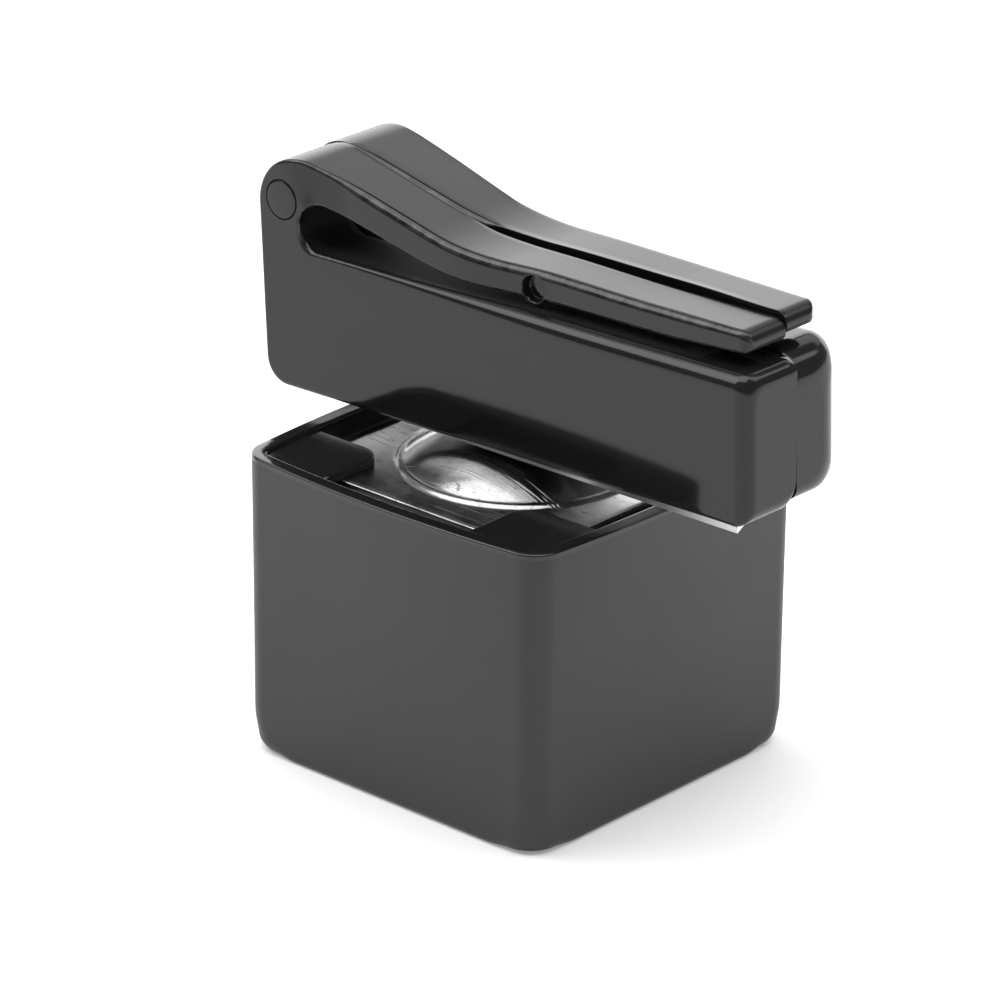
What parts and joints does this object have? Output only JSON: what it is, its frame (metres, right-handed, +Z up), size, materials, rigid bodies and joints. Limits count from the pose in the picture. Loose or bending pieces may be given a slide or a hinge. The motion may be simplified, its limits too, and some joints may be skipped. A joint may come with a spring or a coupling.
{
  "type": "cue chalk holder",
  "caption": "Magnetic cue chalk holder: square plastic cup with a domed steel plate on top and a sprung belt clip that holds on to the dome",
  "frame": {"origin": "middle of the cup's mouth, on the plane the cup stands on", "axes": "+X along the clip towards its open end, -Y the side of the clip's front half, +Z up from the cup's mouth to the clip"},
  "size_m": [0.0493, 0.0318, 0.0447],
  "materials": {
    "cup_plastic": "satin",
    "clip_plastic": "gloss",
    "plate_steel": "worn",
    "sole_steel": "bright",
    "magnet_nickel": "plated"
  },
  "bodies": {
    "cup": {"chalk_cup": "cup_plastic", "strike_plate": "plate_steel"},
    "clip": {"clip_front_half": "clip_plastic", "clip_rear_half": "clip_plastic", "sole_plate": "sole_steel", "bar_magnet": "magnet_nickel"},
    "arms": {"front_spring_arm": "clip_plastic", "rear_spring_arm": "clip_plastic", "hump_dowel": "clip_plastic", "arm_dowel": "clip_plastic"}
  },
  "joints": [
    {"name": "clip_lift", "type": "slide", "parent": "cup", "child": "clip", "axis": [0, 0, 1], "range_m": [0, 0.03]},
    {"name": "arm_flex", "type": "hinge", "parent": "clip", "child": "arms", "pos_m": [-0.0186, 0, 0.04073], "axis": [0, -1, 0], "range_deg": [-0.5, 7], "stiffness_Nm_per_rad": 1.5}
  ]
}
